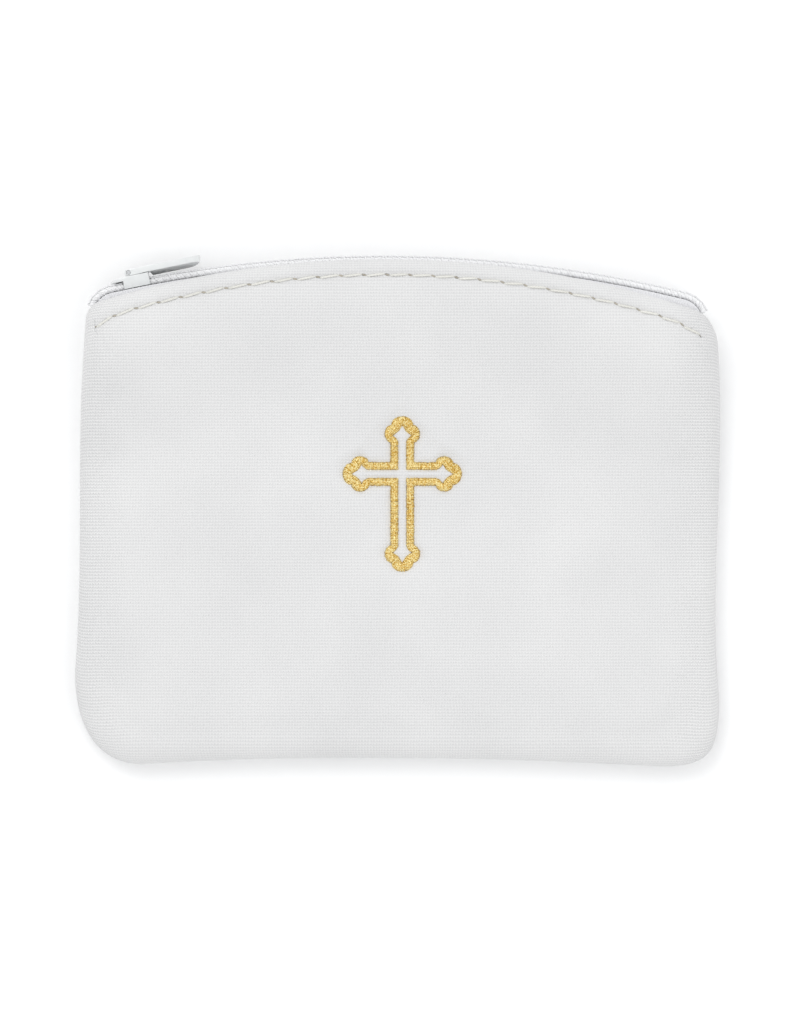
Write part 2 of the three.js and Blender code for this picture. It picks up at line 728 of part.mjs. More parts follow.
for (const [side, label] of [[1, "front"], [-1, "back"]]) {
  pouch.add(part(`zip_tape_${label}`, tapeHalf(side, chainStations), zipTape));
  pouch.add(part(`zip_coil_${label}`, chainBar(side, coilSection, chainStations), nylon));
  pouch.add(part(`zip_coil_cord_${label}`, chainBar(side, cordSection, chainStations), cotton));
  pouch.add(part(`zip_coil_thread_${label}`, chainBar(side, threadStrip, chainStations), cotton));
  pouch.add(part(`topstitch_bobbin_${label}`, topstitchBobbin(side, chainStations), cotton));
}

const slider = new THREE.Group();
const restAngle = Math.asin((sliderInset - halfW - archX) / tapeRadius);
slider.position.set(
  chainCentre.x + tapeRadius * Math.sin(restAngle),
  chainCentre.y + tapeRadius * Math.cos(restAngle),
  chainZ,
);
slider.rotation.z = -restAngle;
slider.add(part("slider_body", sliderBody(), enamel));
slider.add(part("pull_tab", pullTab(), enamel));
slider.add(part("pull_tab_pin", tabPin(), steel));
pouch.add(slider);

export default pouch;
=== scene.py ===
"""The looks of a small padded zip pouch with an embroidered cross, built round its CAD frame.

Lengths inside the functions are in millimetres, in the frame's own axes, and become metres in
mesh_object. +X runs along the pouch's width, +Y towards the zip, and +Z out of the front panel.
"""

import json
import math

import bpy
import numpy as np
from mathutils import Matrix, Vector
from mathutils.bvhtree import BVHTree

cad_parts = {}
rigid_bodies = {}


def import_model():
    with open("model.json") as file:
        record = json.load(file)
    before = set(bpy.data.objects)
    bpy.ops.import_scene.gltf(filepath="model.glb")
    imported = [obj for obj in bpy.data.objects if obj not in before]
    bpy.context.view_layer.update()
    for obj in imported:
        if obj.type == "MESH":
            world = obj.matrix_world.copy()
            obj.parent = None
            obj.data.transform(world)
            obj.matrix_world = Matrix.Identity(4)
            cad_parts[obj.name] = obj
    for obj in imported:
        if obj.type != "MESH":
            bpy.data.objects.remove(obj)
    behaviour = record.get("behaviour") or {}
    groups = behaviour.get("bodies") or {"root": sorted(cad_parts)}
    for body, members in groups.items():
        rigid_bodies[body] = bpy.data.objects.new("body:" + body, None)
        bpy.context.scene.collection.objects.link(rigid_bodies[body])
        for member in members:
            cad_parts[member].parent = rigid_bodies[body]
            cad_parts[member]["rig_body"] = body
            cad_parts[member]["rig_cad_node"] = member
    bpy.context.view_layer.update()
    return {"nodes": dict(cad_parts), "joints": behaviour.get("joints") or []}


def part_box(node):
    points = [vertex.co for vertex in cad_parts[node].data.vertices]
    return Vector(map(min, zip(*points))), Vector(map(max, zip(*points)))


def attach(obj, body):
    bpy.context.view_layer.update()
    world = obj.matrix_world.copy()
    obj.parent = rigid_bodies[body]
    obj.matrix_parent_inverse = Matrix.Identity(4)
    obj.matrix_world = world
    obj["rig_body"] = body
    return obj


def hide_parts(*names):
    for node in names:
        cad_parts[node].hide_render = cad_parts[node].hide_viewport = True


MM = 0.001
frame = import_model()


def node_box(name):
    """A CAD node's lowest and highest corners, in millimetres."""
    low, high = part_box(name)
    return np.array(low) / MM, np.array(high) / MM


# ---- Sizes taken from the frame ----------------------------------------------------------------
front_low, front_high = node_box("front_panel")
_, back_high = node_box("back_panel")
slider_low, slider_high = node_box("slider_body")
_, thread_high = node_box("zip_coil_thread_front")
cross_low, cross_high = node_box("cross_embroidery")
half_w = (front_high[0] - front_low[0]) / 2
bottom_y = front_low[1]
half_h = -bottom_y
hem_peak_y = front_high[1]
hem_top = front_high[2]
side_rim = front_low[2]  # underside of the front panel at the side seams
back_rim = back_high[2]  # top of the back panel's folded edge
chain_z = (slider_low[2] + slider_high[2]) / 2
hem_rim = 2 * chain_z - back_rim  # underside of the front panel's hem
chain_joint = next(j for j in frame["joints"] if j["name"] == "slider_travel")
chain_x, chain_y = np.array(chain_joint["pos_m"][:2]) / MM  # middle of the zip's arc
chain_top_radius = thread_high[1] - chain_y

# ---- Sizes of the looks ------------------------------------------------------------------------
fold_gap = 0.5  # between a panel and its own folded edge
laminate = (back_rim - fold_gap) / 2  # thickness of the foam-backed knit
hem_radius = 172.0  # of the arched top edge
allowance = 7.0  # cloth turned in at the edges
side_bulge = 3.4  # width of the rounded edge at the sides
bottom_bulge = 4.4
hem_bulge = 1.9
crown = 2.1  # rise of the dome in the middle of the front
side_top = side_rim + back_rim + 0.3  # height of the front face at the sides
slope_start = 34.0  # the face starts to rise to the hem this far below it
slope_length = 31.0
shoulder = half_w - 4.7  # x where the arch gives way to the corner's curve
corner_x = half_w - 2.1  # x of the hem's two ends
bottom_corner_x = half_w - 11.65
close_before = 4.0  # the mouth starts to close this far before the hem's ends
close_after = 12.0  # and is closed this far past them
stitch_line = 2.78  # topstitching below the folded edge, in the middle
stitch_drift = 0.3  # how much further down it runs at the two ends
stitch_inset = 1.7  # from the row's ends to the hem's ends
stitch_pitch = 4.0


def smooth(t):
    """0 up to t = 0, 1 from t = 1, and an S-curve between."""
    t = np.clip(t, 0.0, 1.0)
    return t * t * (3 - 2 * t)


def bell(distance, width):
    """1 at no distance, falling away on both sides."""
    return np.exp(-((distance / width) ** 2))


def mix(a, b, t):
    """a where t is 0, b where it is 1."""
    return a + (b - a) * t


def way_along(points):
    """Distance along a polyline to each of its points."""
    return np.concatenate([[0], np.cumsum(np.linalg.norm(np.diff(points, axis=0), axis=1))])


def points_on(polyline, count):
    """Evenly spaced points along a flat polyline, without its last one."""
    along = way_along(polyline)
    at = np.linspace(0, along[-1], count, endpoint=False)
    return np.stack([np.interp(at, along, polyline[:, k]) for k in (0, 1)], -1)


def hem_y(x):
    """The arched top edge."""
    return hem_peak_y - hem_radius + np.sqrt(hem_radius**2 - (x - chain_x) ** 2)


# ---- Mesh helpers ------------------------------------------------------------------------------
def mesh_object(name, points, faces, material, layers=None):
    """A smooth mesh object. layers are vectors, one per point, which the materials read."""
    mesh = bpy.data.meshes.new(name)
    mesh.from_pydata((np.asarray(points) * MM).tolist(), [], faces)
    mesh.validate()
    for layer, values in (layers or {}).items():
        values = np.asarray(values, np.float32)
        attribute = mesh.attributes.new(layer, "FLOAT_VECTOR", "POINT")
        attribute.data.foreach_set("vector", values.ravel())
    mesh.shade_smooth()
    mesh.materials.append(material)
    obj = bpy.data.objects.new(name, mesh)
    bpy.context.scene.collection.objects.link(obj)
    return obj


def ring_faces(rings, count):
    """Quads between successive closed rings of count points."""
    faces = []
    for r in range(rings - 1):
        a, b = r * count, (r + 1) * count
        for i in range(count):
            j = (i + 1) % count
            faces.append((a + i, b + i, b + j, a + j))
    return faces


def capped_faces(rings, count):
    """ring_faces with a face over each end."""
    end = (rings - 1) * count
    faces = ring_faces(rings, count)
    faces.append(tuple(range(count)))
    faces.append(tuple(reversed(range(end, end + count))))
    return faces


def join(parts):
    """One (points, faces, layers) out of several with the same layers."""
    points, faces, layers = [], [], {}
    offset = 0
    for part_points, part_faces, part_layers in parts:
        points.append(part_points)
        faces += [tuple(i + offset for i in f) for f in part_faces]
        for key, values in part_layers.items():
            layers.setdefault(key, []).append(values)
        offset += len(part_points)
    return np.vstack(points), faces, {k: np.vstack(v) for k, v in layers.items()}


def tube(path, radius, sides=8, tone=0.5, guide=(0.0, 0.0, 1.0)):
    """A tube with closed ends. Its thread layer is (way along, angle, tone). guide is a direction
    that the path never takes, and radius is a number or one per point."""
    path = np.asarray(path, float)
    along = way_along(path)
    tangent = np.gradient(path, axis=0)
    tangent /= np.linalg.norm(tangent, axis=1)[:, None]
    side = np.cross(tangent, np.asarray(guide, float))
    side /= np.linalg.norm(side, axis=1)[:, None]
    up = np.cross(side, tangent)
    angle = np.linspace(0, 2 * math.pi, sides, endpoint=False)
    width = np.broadcast_to(radius, len(path))[:, None, None]
    across = side[:, None] * np.cos(angle)[:, None]
    upright = up[:, None] * np.sin(angle)[:, None]
    points = (path[:, None] + width * (across + upright)).reshape(-1, 3)
    layer = np.stack(np.broadcast_arrays(along[:, None], angle[None], tone), -1).reshape(-1, 3)
    return points, capped_faces(len(path), sides), {"thread": layer}


# ---- Material helpers --------------------------------------------------------------------------
class Nodes:
    """A material's node tree with short ways to add a node and link it."""

    def __init__(self, name, **sockets):
        self.material = bpy.data.materials.new(name)
        self.material.use_nodes = True
        self.tree = self.material.node_tree
        self.shader = self.tree.nodes["Principled BSDF"]
        for key, value in sockets.items():
            self.shader.inputs[key.replace("_", " ")].default_value = value

    def add(self, kind, inputs=None, **settings):
        node = self.tree.nodes.new("ShaderNode" + kind)
        for key, value in settings.items():
            setattr(node, key, value)
        for key, value in (inputs or {}).items():
            if isinstance(value, bpy.types.NodeSocket):
                self.tree.links.new(value, node.inputs[key])
            else:
                node.inputs[key].default_value = value
        return node

    def math(self, operation, a, b=0.0, c=0.0):
        return self.add("Math", {0: a, 1: b, 2: c}, operation=operation).outputs[0]

    def layer(self, name):
        """A per-point vector, whole and as its three channels."""
        vector = self.add("Attribute", attribute_name=name).outputs["Vector"]
        split = self.add("SeparateXYZ", {0: vector})
        return vector, split.outputs[0], split.outputs[1], split.outputs[2]

    def noise(self, vector, scale, detail=2.0, roughness=0.5):
        inputs = {"Vector": vector, "Scale": scale, "Detail": detail, "Roughness": roughness}
        return self.add("TexNoise", inputs).outputs["Fac"]

    def fade(self, value, low, high):
        """0 below low, 1 above high, and smooth between."""
        inputs = {"Value": value, "From Min": low, "From Max": high}
        return self.add("MapRange", inputs, interpolation_type="SMOOTHSTEP").outputs[0]

    def ramp(self, fac, stops):
        node = self.add("ValToRGB", {"Fac": fac})
        while len(node.color_ramp.elements) < len(stops):
            node.color_ramp.elements.new(0.5)
        for element, (position, color) in zip(node.color_ramp.elements, stops):
            element.position = position
            element.color = (*color, 1.0)
        return node.outputs["Color"]

    def mix_color(self, fac, a, b):
        """a where fac is 0, b where it is 1. A colour Mix node has its colours at 6 and 7."""
        node = self.add("Mix", {"Factor": fac, 6: a, 7: b}, data_type="RGBA")
        return node.outputs[2]

    def color(self, socket):
        self.tree.links.new(socket, self.shader.inputs["Base Color"])

    def roughness(self, socket):
        self.tree.links.new(socket, self.shader.inputs["Roughness"])

    def bump(self, *layers):
        """layers are (height socket, distance in metres), the coarsest first."""
        normal = None
        for height, distance in layers:
            inputs = {"Height": height, "Distance": distance, "Strength": 1.0}
            if normal is not None:
                inputs["Normal"] = normal
            normal = self.add("Bump", inputs).outputs["Normal"]
        self.tree.links.new(normal, self.shader.inputs["Normal"])


def object_space(nodes):
    """Position in millimetres, so that scales read as turns per millimetre."""
    coordinates = nodes.add("TexCoord").outputs["Object"]
    scale = nodes.add("VectorMath", {0: coordinates, "Scale": 1 / MM}, operation="SCALE")
    return scale.outputs["Vector"]


def knit_material():
    """Fine white jersey: columns of small V stitches, clearest towards the sides, with fuzz on
    them, painted shade in its dips, and painted shade in the needle holes of the topstitching."""
    wale, course = 0.50, 0.55  # a stitch's width and height
    # painted shade: the needle holes are coloured a dark brownish grey, where they sink in
    painted_hole_shade = (0.44, 0.40, 0.33, 1)
    nodes = Nodes("knit_jersey", Roughness=0.9, Sheen_Weight=0.2, Sheen_Roughness=0.5, IOR=1.45)
    vector, u, v, _ = nodes.layer("cloth")
    wander = nodes.noise(vector, 0.25)
    u_bent = nodes.math("MULTIPLY_ADD", wander, 0.9, u)
    column = nodes.math("DIVIDE", u_bent, wale)
    across = nodes.math("ABSOLUTE", nodes.math("SUBTRACT", nodes.math("FRACT", column), 0.5))
    row = nodes.math("ADD", nodes.math("DIVIDE", v, course), nodes.math("MULTIPLY", across, 0.6))
    loops = nodes.math("SINE", nodes.math("MULTIPLY", row, 2 * math.pi))
    ridge = nodes.math("COSINE", nodes.math("MULTIPLY", across, 2 * math.pi))
    near_side = nodes.fade(nodes.math("ABSOLUTE", u), half_w - 12, half_w - 2)
    loop_height = nodes.math("MULTIPLY", loops, nodes.math("MULTIPLY_ADD", near_side, 0.4, 0.45))
    height = nodes.math("MULTIPLY_ADD", ridge, -0.25, loop_height)
    fuzz = nodes.noise(vector, 3.2, detail=3.0, roughness=0.6)
    height = nodes.math("MULTIPLY_ADD", fuzz, 1.6, height)
    hole = needle_holes(nodes)
    cloud = nodes.noise(vector, 0.05)
    # The colour follows the knit's height, darker in the dips between loops and ridges and among
    # the fuzz: painted shade. The cloud adds a random tone.
    shade = nodes.math("MULTIPLY_ADD", height, 0.22, nodes.math("MULTIPLY", cloud, 0.3))
    base = nodes.ramp(shade, [(0.0, (0.572, 0.572, 0.576)), (0.65, (0.802, 0.798, 0.791))])
    # painted shade in the needle holes, laid over the knit's colour
    nodes.color(nodes.mix_color(hole, base, painted_hole_shade))
    nodes.bump((nodes.math("SUBTRACT", 0.0, hole), 0.00015), (height, 0.00004))
    return nodes.material


def needle_holes(nodes):
    """1 in the small slanted gaps between the topstitches, 0 elsewhere."""
    half_length, half_width, slant = 0.5, 0.2, -0.25
    _, phase, below, on_face = nodes.layer("seam")
    shifted = nodes.math("ADD", phase, 0.5)
    from_hole = nodes.math("SUBTRACT", nodes.math("FRACT", shifted), 0.5)
    along = nodes.math("MULTIPLY", from_hole, stitch_pitch)
    slanted = nodes.math("MULTIPLY_ADD", along, slant, below)
    far_along = nodes.math("DIVIDE", along, half_length)
    far_across = nodes.math("DIVIDE", slanted, half_width)
    far = nodes.add("CombineXYZ", {0: far_along, 1: far_across}).outputs[0]
    distance = nodes.add("VectorMath", {0: far}, operation="LENGTH").outputs["Value"]
    in_gap = nodes.math("SUBTRACT", 1.0, nodes.fade(distance, 0.5, 1.2))
    within = nodes.math("MULTIPLY", in_gap, on_face)
    first = nodes.math("GREATER_THAN", phase, -0.5)
    last = nodes.math("LESS_THAN", phase, len(stitch_holes) - 0.5)
    return nodes.math("MULTIPLY", within, nodes.math("MULTIPLY", first, last))


def thread_material(name, dark, light):
    """Twisted thread: plies that wind round it, and a change of tone from stitch to stitch."""
    ply = 0.55  # length of one turn
    nodes = Nodes(name, Roughness=0.6, Sheen_Weight=0.2)
    _, along, angle, tone = nodes.layer("thread")
    turn = nodes.math("MULTIPLY_ADD", along, 2 * math.pi / ply, nodes.math("MULTIPLY", angle, 2.0))
    plies = nodes.math("SINE", turn)
    place = object_space(nodes)
    fine = nodes.noise(place, 6.0, detail=2.0)
    uneven = nodes.math("MULTIPLY_ADD", tone, 0.4, nodes.math("MULTIPLY", fine, 0.5))
    # The plies darken the colour in the grooves of the twist: painted shade. tone and the fine
    # noise vary it at random.
    shade = nodes.math("MULTIPLY_ADD", plies, 0.12, uneven)
    nodes.color(nodes.ramp(shade, [(0.1, dark), (0.75, light)]))
    nodes.bump((plies, 0.00003), (fine, 0.00003))
    return nodes.material


def gold_material():
    """Metallic embroidery thread: foil wound round a core, which glitters in fine grains, with
    painted glints and shade in its colour.
    """
    foil_width = 0.3
    nodes = Nodes("gold_metallic_thread", Metallic=0.85, IOR=1.45)
    _, along, angle, tone = nodes.layer("thread")
    turn = nodes.math("ADD", nodes.math("MULTIPLY", along, 2 * math.pi / foil_width), angle)
    foil = nodes.math("SINE", turn)
    place = object_space(nodes)
    grain_and_painted_glints = nodes.noise(place, 3.6, detail=3.0, roughness=0.7)
    glint = nodes.noise(place, 7.0, detail=2.0, roughness=0.6)
    # The grains lighten and darken the colour, from dark brown to pale gold: painted glints and
    # shade. The stitches' tone varies it at random.
    shade = nodes.math("MULTIPLY_ADD", tone, 0.12, nodes.math("MULTIPLY", grain_and_painted_glints, 1.1))
    stops = [(0.34, (0.40, 0.22, 0.035)), (0.53, (0.72, 0.45, 0.085)), (0.70, (1.0, 0.86, 0.44))]
    nodes.color(nodes.ramp(shade, stops))
    nodes.roughness(nodes.math("MULTIPLY_ADD", glint, 0.5, 0.15))
    nodes.bump((foil, 0.00003), (grain_and_painted_glints, 0.00016))
    return nodes.material


def tape_material():
    """Woven zip tape: fine ribs across it, set in a faint herringbone."""
    rib = 0.45
    nodes = Nodes("zip_tape_weave", Roughness=0.85, Sheen_Weight=0.1)
    vector, along, y, z = nodes.layer("weave")
    zigzag = nodes.math("PINGPONG", nodes.math("ADD", z, y), 1.2)
    slant = nodes.math("MULTIPLY_ADD", zigzag, 0.25, along)
    warp = nodes.math("SINE", nodes.math("MULTIPLY", slant, 2 * math.pi / rib))
    fine = nodes.noise(vector, 5.0)
    # The ribs darken the colour between them: painted shade. The fine noise adds a random tone.
    shade = nodes.math("MULTIPLY_ADD", warp, 0.22, fine)
    nodes.color(nodes.ramp(shade, [(0.2, (0.72, 0.72, 0.74)), (0.7, (0.80, 0.80, 0.815))]))
    nodes.bump((warp, 0.00003), (fine, 0.00003))
    return nodes.material


def nylon_material():
    """Milky nylon monofilament, which lets some light through."""
    nodes = Nodes("coil_nylon", Roughness=0.5, IOR=1.5, Subsurface_Weight=0.7)
    nodes.shader.inputs["Subsurface Radius"].default_value = (1.0, 1.0, 1.0)
    nodes.shader.inputs["Subsurface Scale"].default_value = 0.0008
    place = object_space(nodes)
    cloud = nodes.noise(place, 0.8)
    nodes.color(nodes.ramp(cloud, [(0.3, (0.80, 0.80, 0.81)), (0.7, (0.85, 0.85, 0.855))]))
    nodes.bump((nodes.noise(place, 4.0), 0.00001))
    return nodes.material


def enamel_material():
    """Glossy white enamel over a die casting, very slightly uneven."""
    nodes = Nodes("slider_enamel", Roughness=0.22, IOR=1.5, Coat_Weight=0.6, Coat_Roughness=0.08)
    place = object_space(nodes)
    cloud = nodes.noise(place, 0.6)
    nodes.color(nodes.ramp(cloud, [(0.3, (0.70, 0.715, 0.715)), (0.7, (0.74, 0.755, 0.75))]))
    nodes.bump((nodes.noise(place, 0.9, detail=1.0), 0.00004))
    return nodes.material


def steel_material():
    """Drawn steel wire of the pin."""
    nodes = Nodes("pin_steel", Metallic=1.0, IOR=2.5)
    place = object_space(nodes)
    stretched = nodes.add("Mapping", {"Vector": place, "Scale": (6.0, 6.0, 0.4)}).outputs[0]
    scratches = nodes.noise(stretched, 2.0)
    nodes.color(nodes.ramp(scratches, [(0.3, (0.50, 0.51, 0.52)), (0.7, (0.62, 0.63, 0.64))]))
    nodes.roughness(nodes.math("MULTIPLY_ADD", scratches, 0.2, 0.2))
    nodes.bump((scratches, 0.00001))
    return nodes.material


def floor_material():
    """Plain pale paper."""
    nodes = Nodes("studio_floor", Roughness=0.9)
    cloud = nodes.noise(object_space(nodes), 0.01)
    nodes.color(nodes.ramp(cloud, [(0.0, (0.96, 0.96, 0.96)), (1.0, (0.98, 0.98, 0.98))]))
    return nodes.material


gold = gold_material()
weave = tape_material()
nylon = nylon_material()
enamel = enamel_material()
steel = steel_material()
ivory = thread_material("topstitch_thread", (0.66, 0.65, 0.60), (0.82, 0.81, 0.76))
white = thread_material("white_thread", (0.79, 0.79, 0.80), (0.90, 0.90, 0.905))


# ---- Outline of the panels ---------------------------------------------------------------------
def bezier(p0, p1, p2, p3, count=60):
    """Points on a cubic curve."""
    t = np.linspace(0, 1, count)[:, None]
    p0, p1, p2, p3 = (np.array(p) for p in (p0, p1, p2, p3))
    return (1 - t) ** 3 * p0 + 3 * t * (1 - t) ** 2 * p1 + 3 * t * t * (1 - t) * p2 + t**3 * p3


def quadratic(p0, p1, p2, count=24):
    """Points on a quadratic curve."""
    p0, p1, p2 = (np.array(p) for p in (p0, p1, p2))
    return bezier(p0, p0 + (p1 - p0) * 2 / 3, p2 + (p1 - p2) * 2 / 3, p2, count)


def arch(start, end):
    """Part of the top edge, between two x."""
    x = np.linspace(start, end, 80)
    return np.stack([x, hem_y(x)], -1)


def panel_outline(count):
    """Evenly spaced points round a panel, clockwise from the top of the arch, and its length. The
    sewn pouch isn't quite symmetric: the small offsets let its sides lean and its bottom sag."""
    w, h = half_w, half_h
    right_head = (w - 0.8, hem_y(corner_x) - 4)
    right_foot = (w - 0.35, -h + 13)
    bottom_right = (bottom_corner_x, -h)
    bottom_left = (-bottom_corner_x, -h + 0.4)
    left_foot = (-w, -h + 17)
    left_head = (2 - w, hem_y(-corner_x) - 3.2)
    stretches = [
        arch(chain_x, shoulder),
        quadratic((shoulder, hem_y(shoulder)), (corner_x, hem_y(corner_x)), right_head),
        bezier(right_head, (w + 1.3, 0.3 * h), (w - 2.3, -0.27 * h), right_foot),
        bezier(right_foot, (w - 0.1, -h + 1.6), (w - 2.1, -h - 0.1), bottom_right),
        bezier(bottom_right, (0.25 * w, -h + 1.9), (-0.4 * w, -h + 2), bottom_left),
        bezier(bottom_left, (3.6 - w, -h + 0.5), (-w - 0.2, -h + 7.5), left_foot),
        bezier(left_foot, (1.7 - w, -0.18 * h), (-w - 0.1, 0.35 * h), left_head),
        quadratic(left_head, (-corner_x, hem_y(-corner_x) + 0.1), (-shoulder, hem_y(-shoulder))),
        arch(-shoulder, chain_x),
    ]
    dense = np.vstack([s[:-1] for s in stretches] + [stretches[0][:1]])
    return points_on(dense, count), way_along(dense)[-1]


AROUND = 480  # points in each ring of a panel
outline, outline_length = panel_outline(AROUND)


def hem_share(beyond):
    """How much of the hem's shape is left this far beyond its end: 1 on it, 0 down the side."""
    return 1 - smooth((beyond + close_before) / (close_before + close_after))


def corner_index(x):
    """The outline point at one of the two ends of the hem."""
    return np.argmin(np.hypot(outline[:, 0] - x, outline[:, 1] - hem_y(x)))


right_corner, left_corner = corner_index(corner_x), corner_index(-corner_x)


def outline_share():
    """hem_share at each point of the outline."""
    i = np.arange(AROUND)
    steps = np.where(i < (right_corner + left_corner) / 2, i - right_corner, left_corner - i)
    return hem_share(steps * outline_length / AROUND)


share = outline_share()
low_share = smooth((-outline[:, 1] - 0.55 * half_h) / (0.35 * half_h))  # 1 along the bottom
rim_front = mix(side_rim, hem_rim, share)
bulge = mix(mix(side_bulge, bottom_bulge, low_share), hem_bulge, share)
tuck = mix(1.0, 1.3, share)  # how far the rounded edge turns back in under itself
tuck_height = mix(1.1, 1.7, share)


def inset(distance):
    """The outline moved inwards by distance, which is a number or one per point. It shrinks
    towards the middle, so that no two insets cross."""
    d = np.broadcast_to(distance, AROUND)
    y = outline[:, 1]
    edge = share * (1 - smooth((d - allowance) / 25))
    lift = np.where(y > 0, mix(y / half_h, 1.0, edge), y / half_h)
    return np.stack([outline[:, 0] * (1 - d / half_w), y - d * lift], -1)


def front_height(x, y):
    """Height of the front panel's outer face, away from its rounded edge."""
    ramp = smooth((y - hem_y(x) + slope_start) / slope_length) * hem_share(np.abs(x) - corner_x)
    rise = crown * np.clip(1 - (x / half_w) ** 4, 0, 1) * np.clip(1 - (y / half_h) ** 4, 0, 1)
    return side_top + rise * (1 - ramp) + (hem_top - side_top) * ramp


# ---- Cross -------------------------------------------------------------------------------------
cross_x = (cross_low[0] + cross_high[0]) / 2
bud_length = 4.25  # of the bud at the end of each arm
side_arm = (cross_high[0] - cross_low[0]) / 2 - bud_length
upper_arm = side_arm - 0.35
cross_y = cross_high[1] - upper_arm - bud_length
long_arm = cross_y - cross_low[1] - bud_length
channel = 0.7  # half the width of cloth left bare inside an arm
satin = 1.4  # width of the embroidered line


def arm_stretches(reach):
    """Matching stretches of the line's inner and outer edge, up the right side of an arm: its
    corner with the next arm, its straight side, the neck of its bud, and two lobes to its tip."""
    wide = channel + satin
    inner_side = np.array([channel, wide])
    inner_corner = np.array([[channel, channel], inner_side])
    root = np.array([channel, reach - 0.35])
    lobe = np.array([1.85, reach + 0.86])
    tip = np.array([0, reach + 2.8])
    inner_neck = quadratic(root, (0.85, reach + 0.55), lobe)
    inner_bud = quadratic(lobe, (0.45, reach + 1.2), tip, 17)
    outer_corner = np.array([wide, wide])
    outer_root = np.array([wide, reach - 0.35])
    outer_lobe = np.array([3.1, reach + 1.3])
    notch = np.array([1.95, reach + 2.75])
    outer_tip = np.array([0, reach + bud_length])
    outer_neck = quadratic(outer_root, (3.2, reach), outer_lobe)
    return [
        (inner_corner, np.array([outer_corner, outer_corner + 0.05])),
        (np.array([inner_side, root]), np.array([outer_corner, outer_root])),
        (inner_neck, outer_neck),
        (inner_bud[:9], quadratic(outer_lobe, (3.05, reach + 2.6), notch)),
        (inner_bud[8:], quadratic(notch, (1.85, reach + bud_length), outer_tip)),
    ]


def cross_stitches(pitch):
    """Both ends of each satin stitch, round the arms: up, right, down and left."""
    ends = []
    for turn, reach in enumerate([upper_arm, side_arm, long_arm, side_arm]):
        angle = turn * math.pi / 2
        spin = np.array([[math.cos(angle), -math.sin(angle)], [math.sin(angle), math.cos(angle)]])
        half = []
        for inner, outer in arm_stretches(reach):
            length = np.linalg.norm(np.diff(outer, axis=0), axis=1).sum()
            length = max(length, np.linalg.norm(np.diff(inner, axis=0), axis=1).sum())
            count = max(2, round(length / pitch))
            half.append(np.stack([points_on(inner, count), points_on(outer, count)], 1))
        half.append(np.array([[inner[-1], outer[-1]]]))
        right = np.vstack(half)
        ends.append(np.vstack([right * [-1, 1], right[::-1]]) @ spin)
    ends = np.vstack(ends) + [cross_x, cross_y]
    return ends[:, 0], ends[:, 1]


cross_in, cross_out = cross_stitches(0.5)  # coarse, to measure distances from


def distance_to_band(points):
    """Distance from each point to the middle of the satin line."""
    middle = (cross_in + cross_out) / 2
    best = np.full(len(points), np.inf)
    for start in range(0, len(middle), 40):
        gap = np.linalg.norm(points[:, None] - middle[None, start : start + 40], axis=2)
        best = np.minimum(best, gap.min(1))
    return best


# ---- Surface of the front, with everything that pulls at it ------------------------------------
def below_stitching(x, y):
    """Distance below the topstitching, which drifts away from the hem and dips at its ends."""
    dip = 0.03 * np.clip(np.abs(x) - 47, 0, 8) ** 2
    return hem_y(x) - stitch_line - stitch_drift * (x / 45) ** 2 - dip - y


def stitch_phase(x):
    """Number of stitches from the left end of the row, whole at each needle hole."""
    count = len(stitch_holes)
    return np.interp(x, stitch_holes[:, 0], np.arange(count), -0.5, count - 0.5)


def place_stitches():
    """The needle holes of the topstitching, one pitch apart."""
    row_end = corner_x - stitch_inset
    x = np.linspace(-row_end, row_end, 600)
    dense = np.stack([x, below_stitching(x, 0.0)], -1)
    length = np.linalg.norm(np.diff(dense, axis=0), axis=1).sum()
    count = round(length / stitch_pitch)
    return np.vstack([points_on(dense, count), dense[-1:]])


stitch_holes = place_stitches()


def pull(x, y):
    """How far the topstitching pulls the cloth in: a groove, a dimple at each hole, and small
    puckers below and above the row."""
    below = below_stitching(x, y)
    inside = smooth((corner_x - 0.2 - np.abs(x)) / 1.5)
    phase = stitch_phase(x)
    to_hole = (phase - np.round(phase)) * stitch_pitch
    wave = np.cos(2 * math.pi * phase)
    groove = 0.34 * bell(below, 0.55)
    dimples = 0.30 * np.exp(-((to_hole / 0.6) ** 2) - (below / 0.6) ** 2)
    puckers_below = 0.08 * wave * bell(below - 1.9, 1.7)
    puckers_above = 0.06 * wave * bell(below + 1.3, 0.9)
    return (groove + dimples + puckers_below + puckers_above) * inside


def dent(x, y):
    """How far the embroidery pulls the cloth in, with a low swelling round it."""
    near = (np.abs(x - cross_x) < 16) & (np.abs(y - cross_y) < 24)
    gap = distance_to_band(np.stack([x[near], y[near]], -1))
    sunk = 0.38 * (1 - smooth((gap - 0.2) / 1.5))
    swelling = 0.10 * bell(gap - 2.4, 0.9)
    depth = np.zeros(len(x))
    depth[near] = sunk - swelling
    return depth


def waves(x, y):
    """Gentle unevenness of the cloth, larger than a pucker."""
    total = np.zeros(len(x))
    local = np.random.default_rng(3)
    for length, height in ((58, 0.126), (37, 0.072), (23, 0.036)):
        for _ in range(3):
            angle, phase = local.uniform(0, 2 * math.pi, 2)
            across = x * math.cos(angle) + y * math.sin(angle)
            total += height * np.sin(across * 2 * math.pi / length + phase)
    return total * smooth((half_w - np.abs(x)) / 6) * smooth((half_h - np.abs(y)) / 6)


knit = knit_material()


# ---- The front's cloth, settled by simulation --------------------------------------------------
SHEET_STEP = 1.4  # spacing of the simulated sheet
SHEET_SCALE = 0.02  # its metres to a millimetre: the solver suits a sheet of 2 m
SETTLING_FRAMES = 24
MOST_RISE = 0.55  # the settled cloth is kept within this of the plain dome


